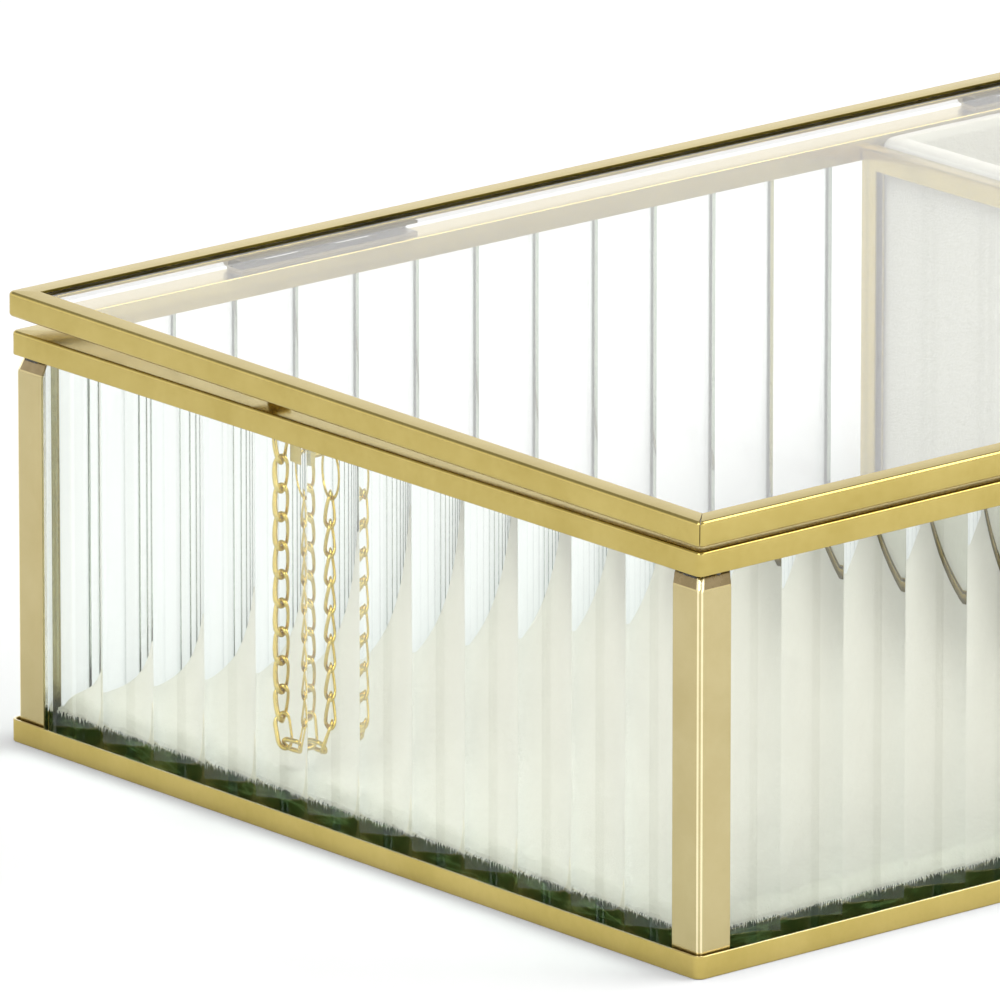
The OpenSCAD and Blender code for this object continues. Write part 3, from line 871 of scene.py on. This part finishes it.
def tray():
    """Open velvet tray: a loft of rounded rectangles up the outside, over the rim and down to the floor."""
    x0, x1 = PART_X + PART_W / 2 + 0.3, HALF_L - CHANNEL_IN - 0.3
    z0, z1 = BASE_TOP + 0.01, RIM_TOP - 0.1
    half_x, half_y = (x1 - x0) / 2, HALF_D - CHANNEL_IN - 0.3
    middle_x = (x0 + x1) / 2
    wall, floor = 3.6, BASE_TOP + 4.0
    r_out, r_edge, r_foot = 2.0, 1.5, 1.2
    corner_steps, edge_steps, foot_steps, cells_x, cells_y = 6, 8, 6, 30, 46
    section = [(0.0, z) for z in (z0, *CUTS)]
    rim_from = len(section) + 3
    section += [(r_edge * c, z1 - r_edge * s) for c, s in quarter(edge_steps)]
    lining_from = len(section) + 2
    section += [(wall - r_edge * s, z1 - r_edge * c) for c, s in quarter(edge_steps)]
    section += [(wall, z) for z in reversed(CUTS)]
    section += [(wall + r_foot * c, floor + r_foot * s) for c, s in quarter(foot_steps)]

    def ring(inset):
        """Rounded rectangle at an inset, centred on the origin, with its straight sides cut into cells."""
        r = max(r_out - inset, 0.6)
        x, y = half_x - inset, half_y - inset
        cx, cy = x - r, y - r
        corners = [(cx, -cy, -90, (x, cy), cells_y), (cx, cy, 0, (-cx, y), cells_x),
                   (-cx, cy, 90, (-x, -cy), cells_y), (-cx, -cy, 180, (cx, -y), cells_x)]
        pts = []
        for px, py, first, (bx, by), cells in corners:
            for s in range(corner_steps + 1):
                a = math.radians(first + 90 * s / corner_steps)
                pts.append((px + r * math.cos(a), py + r * math.sin(a)))
            ax, ay = pts[-1]
            pts += [(ax + (bx - ax) * s / cells, ay + (by - ay) * s / cells) for s in range(1, cells)]
        return pts

    verts, faces = [], []
    for inset, z in section:
        row = ring(inset)
        soft = 1.0 if z > z0 + 1 else 0.0
        for dx, dy in row:
            x, y = middle_x + dx, dy
            coarse = noise.noise(Vector((x * 0.07, y * 0.07, z * 0.06)))
            fine = noise.noise(Vector((x * 0.3, y * 0.3, z * 0.25)))
            wobble = 0.1 * (fine + coarse) * soft
            inward_x, inward_y = (-0.6 if d > 0 else 0.6 for d in (dx, dy))
            verts.append((x + wobble * inward_x, y + wobble * inward_y, z - abs(wobble) * 0.8))
    count = len(row)
    for k in range(len(section) - 1):
        for j in range(count):
            j2 = (j + 1) % count
            faces.append((k * count + j, k * count + j2, (k + 1) * count + j2, (k + 1) * count + j))
    # The tray's outside takes a lighter copy of the velvet as painted light, its rim the pad's velvet, and its
    # inside and floor a darker copy as painted shade.
    rim = range(rim_from * count, lining_from * count)
    shaded_lining = list(range(lining_from * count, len(faces))) + [len(faces) + 1]
    faces.append(tuple(reversed(range(count))))
    faces.append(tuple((len(section) - 1) * count + j for j in range(count)))
    return make_object("velvet_tray_cloth", verts, faces, VELVET_TRAY_LIT, "box", ["velvet_tray"], 80,
                       others=[(VELVET, rim), (VELVET_LINING_SHADE, shaded_lining)])


tray()

# ------------------------------------------------------------------ carried-over CAD nodes
for name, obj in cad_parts.items():
    if obj.hide_render:
        continue
    obj.data.materials.clear()
    # hinges take the darker brass, partly painted shade
    obj.data.materials.append(BRASS_HINGE if name.startswith("hinge") else BRASS)

# ------------------------------------------------------------------ floor, light and camera
FLOOR_HALF = 6.0
floor_mesh = bpy.data.meshes.new("floor")
floor_corners = [(x * FLOOR_HALF, y * FLOOR_HALF, 0) for x, y in ((-1, -1), (1, -1), (1, 1), (-1, 1))]
floor_mesh.from_pydata(floor_corners, [], [(0, 1, 2, 3)])
floor = bpy.data.objects.new("floor", floor_mesh)
bpy.context.scene.collection.objects.link(floor)
floor_white = new_material("floor_white")
floor_nodes = Nodes(floor_white)
white = floor_nodes.add("ShaderNodeBsdfPrincipled", Base__Color=(0.93, 0.93, 0.93, 1.0), Roughness=0.9)
white.inputs["Specular IOR Level"].default_value = 0.0
floor_nodes.output(white.outputs[0])
floor.data.materials.append(floor_white)

# the world's grey at each height, from straight down at 0 to straight up at 1; the bevels mirror its dark band
DARK_BAND = (0.30, 0.30, 0.29)
SKY = [(0.0, (0.9,) * 3), (0.56, (1.04,) * 3), (0.61, (0.92,) * 3), (0.70, (0.92,) * 3), (0.77, DARK_BAND),
       (0.90, DARK_BAND), (1.0, (0.8,) * 3)]
SKY_STRENGTH = 1.30

scene = bpy.context.scene
world = bpy.data.worlds.new("world")
scene.world = world
world.use_nodes = True
world.node_tree.nodes.clear()
sky_nodes = Nodes(world)
direction = sky_nodes.add("ShaderNodeTexCoord").outputs["Generated"]
axes = sky_nodes.add("ShaderNodeSeparateXYZ", i0=direction)
height = sky_nodes.between(axes.outputs["Z"], 0.5, 1.0)
background = sky_nodes.add("ShaderNodeBackground", Color=sky_nodes.ramp(height, SKY), Strength=SKY_STRENGTH)
sky_nodes.add("ShaderNodeOutputWorld", i0=background.outputs[0])


def point_at(obj, place, aim):
    """Puts a lamp or the camera at place, turned to aim."""
    obj.location = place
    obj.rotation_euler = (Vector(aim) - Vector(place)).to_track_quat("-Z", "Y").to_euler()
    scene.collection.objects.link(obj)


def area_light(name, place, aim, size, power):
    data = bpy.data.lights.new(name, "AREA")
    data.shape = "RECTANGLE"
    data.size, data.size_y = size
    data.energy = power
    point_at(bpy.data.objects.new(name, data), place, aim)


area_light("key", (1.1, -0.55, 1.35), (0, 0, 0), (1.3, 1.1), 18.0)
area_light("front", (0.1, -1.9, 0.8), (0, 0, 0.03), (1.4, 0.7), 4.0)
area_light("left", (-1.5, -0.5, 1.3), (0, 0, 0), (0.9, 0.9), 12.0)

# fitted to the edges and corners seen in the photo
camera_data = bpy.data.cameras.new("camera")
camera_data.lens = 653.9
camera_data.sensor_width = 36.0
camera_data.clip_start = 0.05
camera_data.clip_end = 50.0
camera = bpy.data.objects.new("camera", camera_data)
point_at(camera, (-1.6832, -1.8629, 0.7504), (-0.12665, -0.03275, 0.0592))
scene.camera = camera

scene.cycles.max_bounces = 24
scene.cycles.transmission_bounces = 20
scene.cycles.transparent_max_bounces = 24
scene.cycles.glossy_bounces = 6
scene.cycles.diffuse_bounces = 5
scene.cycles.caustics_refractive = True
scene.cycles.caustics_reflective = False
scene.cycles.blur_glossy = 0.5
scene.cycles.sample_clamp_indirect = 6.0
scene.view_settings.view_transform = "Standard"
